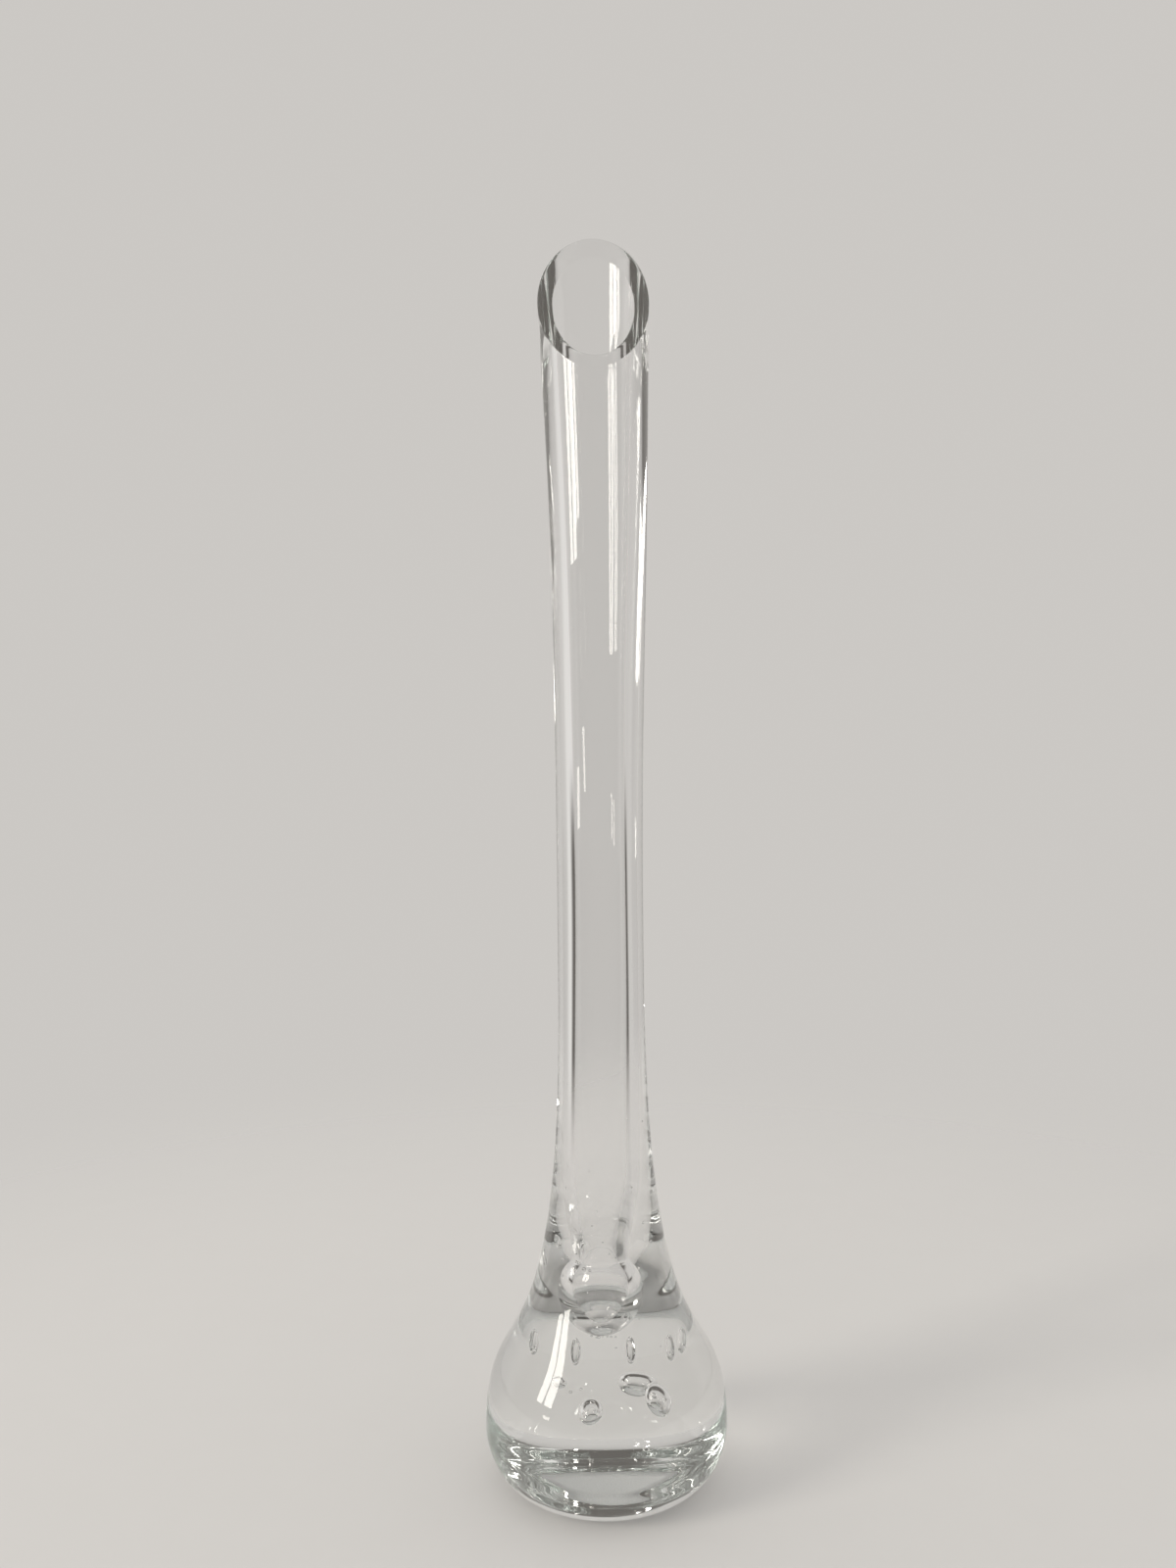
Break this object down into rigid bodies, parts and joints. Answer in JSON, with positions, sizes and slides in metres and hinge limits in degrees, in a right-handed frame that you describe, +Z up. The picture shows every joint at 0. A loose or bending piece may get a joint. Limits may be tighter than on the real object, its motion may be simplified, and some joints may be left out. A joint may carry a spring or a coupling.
{
  "type": "bud vase",
  "caption": "Tall slim bud vase in clear glass: heavy rounded base, drawn neck with a blind bore for a stem, slant-cut lip, and air bubbles trapped between its gathers.",
  "frame": {"origin": "centre of the ground standing face on the underside", "axes": "+Z up along the vase's axis; the slant-cut lip faces -Y, which is the pictured front, and its high point is towards +Y"},
  "size_m": [0.06, 0.06, 0.3152],
  "materials": {
    "inner_glass": "clear soda-lime glass, fire-polished bore and lip, fine vertical striae",
    "casing_glass": "clear soda-lime glass, fire-polished outside, ground and polished standing face",
    "trapped_air": "air in the glass, bright rim where light is reflected inside"
  },
  "bodies": {
    "root": {"inner_gather": "inner_glass", "outer_casing": "casing_glass", "shoulder_bubble_1": "trapped_air", "shoulder_bubble_2": "trapped_air", "shoulder_bubble_3": "trapped_air", "shoulder_bubble_4": "trapped_air", "shoulder_bubble_5": "trapped_air", "base_bubble_1": "trapped_air", "base_bubble_2": "trapped_air", "base_bubble_3": "trapped_air", "base_bubble_4": "trapped_air", "collar_bubble": "trapped_air"}
  },
  "joints": []
}
